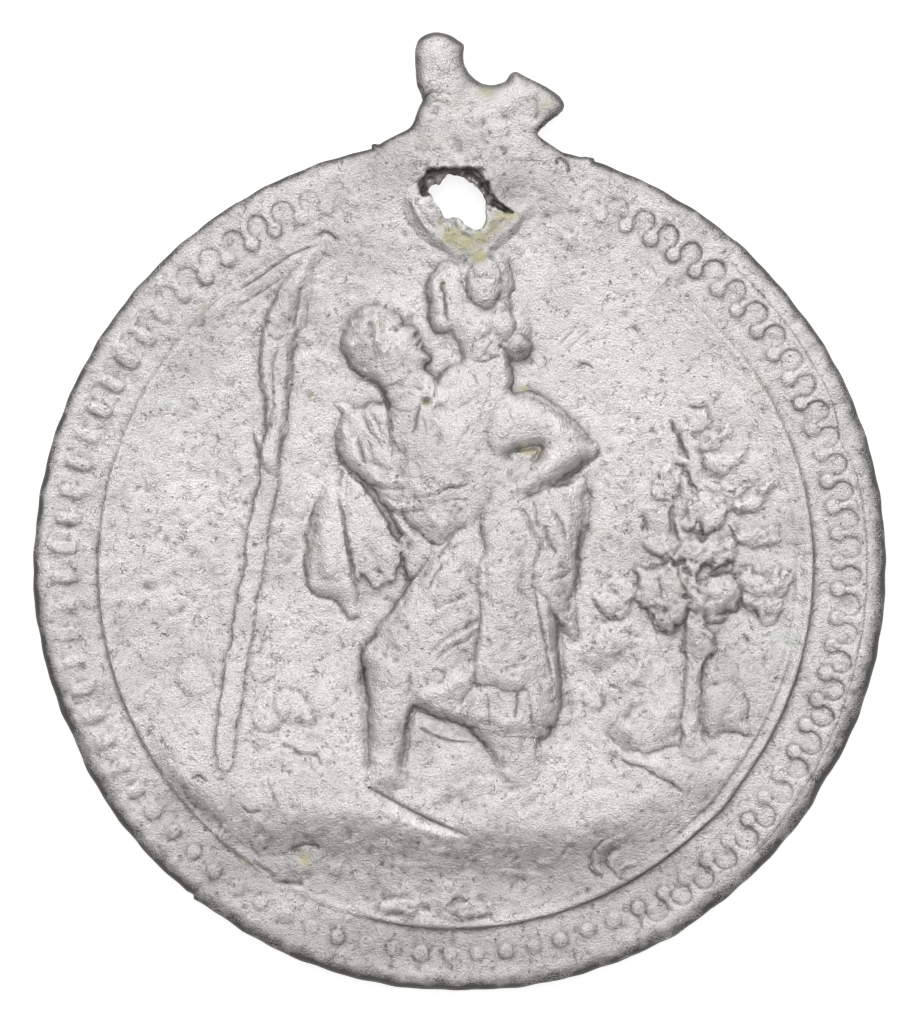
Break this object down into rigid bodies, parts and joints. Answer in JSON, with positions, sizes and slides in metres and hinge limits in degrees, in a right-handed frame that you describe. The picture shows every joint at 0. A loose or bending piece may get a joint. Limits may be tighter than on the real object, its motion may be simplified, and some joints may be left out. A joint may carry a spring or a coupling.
{
  "type": "saint christopher medal",
  "caption": "Round relief medal of light grey metal, with a saint carrying a child beside a tree, a border of small tongues, a broken eye and a ragged pierced hole.",
  "frame": {"origin": "centre of the disc on its flat back face", "axes": "+Z out of the front with the picture, +Y towards the broken eye at the top, +X to the right of the picture"},
  "size_m": [0.03, 0.0339, 0.0021],
  "materials": {
    "light_metal": "matt, corroded and finely pitted"
  },
  "bodies": {
    "root": {"medal": "light_metal"}
  },
  "joints": []
}
